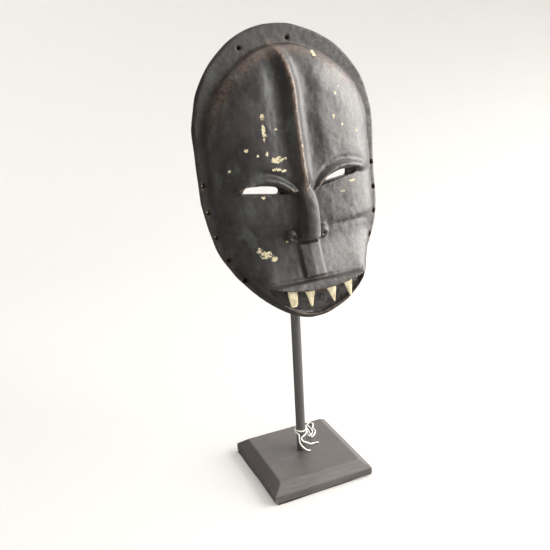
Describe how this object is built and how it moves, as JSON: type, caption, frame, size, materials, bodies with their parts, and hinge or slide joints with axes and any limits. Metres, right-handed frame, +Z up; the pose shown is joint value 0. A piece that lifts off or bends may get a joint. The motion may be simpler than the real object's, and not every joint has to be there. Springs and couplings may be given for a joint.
{
  "type": "carved mask on a display stand",
  "caption": "Carved wooden face mask with slit eyes and pegged teeth, hollow behind, that lifts off and turns on a rod standing in a bevelled square block.",
  "frame": {"origin": "centre of the stand's underside, on the floor", "axes": "+Z up along the post; the mask faces -Y; +X is to the right of someone facing the mask"},
  "size_m": [0.1481, 0.0912, 0.3693],
  "materials": {
    "blackened_wood": "hand carved, blackened and worn to a dull sheen",
    "pale_wood": "bare, cut with a knife",
    "raw_wood": "bare, sawn",
    "block_stain": "black stain, rubbed through at the edges",
    "black_steel": "satin black paint",
    "bright_steel": "zinc plated",
    "brass": "dull",
    "felt": "pressed wool felt",
    "cotton": "twisted cotton string"
  },
  "bodies": {
    "stand": {"base_block": "block_stain", "base_felt": "felt", "post": "black_steel", "post_washer": "bright_steel", "post_nut": "bright_steel", "stop_collar": "black_steel", "collar_screw": "bright_steel", "tag_string": "cotton"},
    "turning_washer": {"rest_washer": "brass"},
    "mask": {"mask_shell": "blackened_wood", "cross_batten": "raw_wood", "batten_screw_left": "brass", "batten_screw_right": "brass", "tooth_1": "pale_wood", "tooth_2": "pale_wood", "tooth_3": "pale_wood", "tooth_4": "pale_wood"}
  },
  "joints": [
    {"name": "mask_swivel", "type": "hinge", "parent": "stand", "child": "turning_washer", "pos_m": [0, 0, 0.2758], "axis": [0, 0, 1], "continuous": true},
    {"name": "mask_lift", "type": "slide", "parent": "turning_washer", "child": "mask", "axis": [0, 0, 1], "range_m": [0, 0.021]}
  ]
}
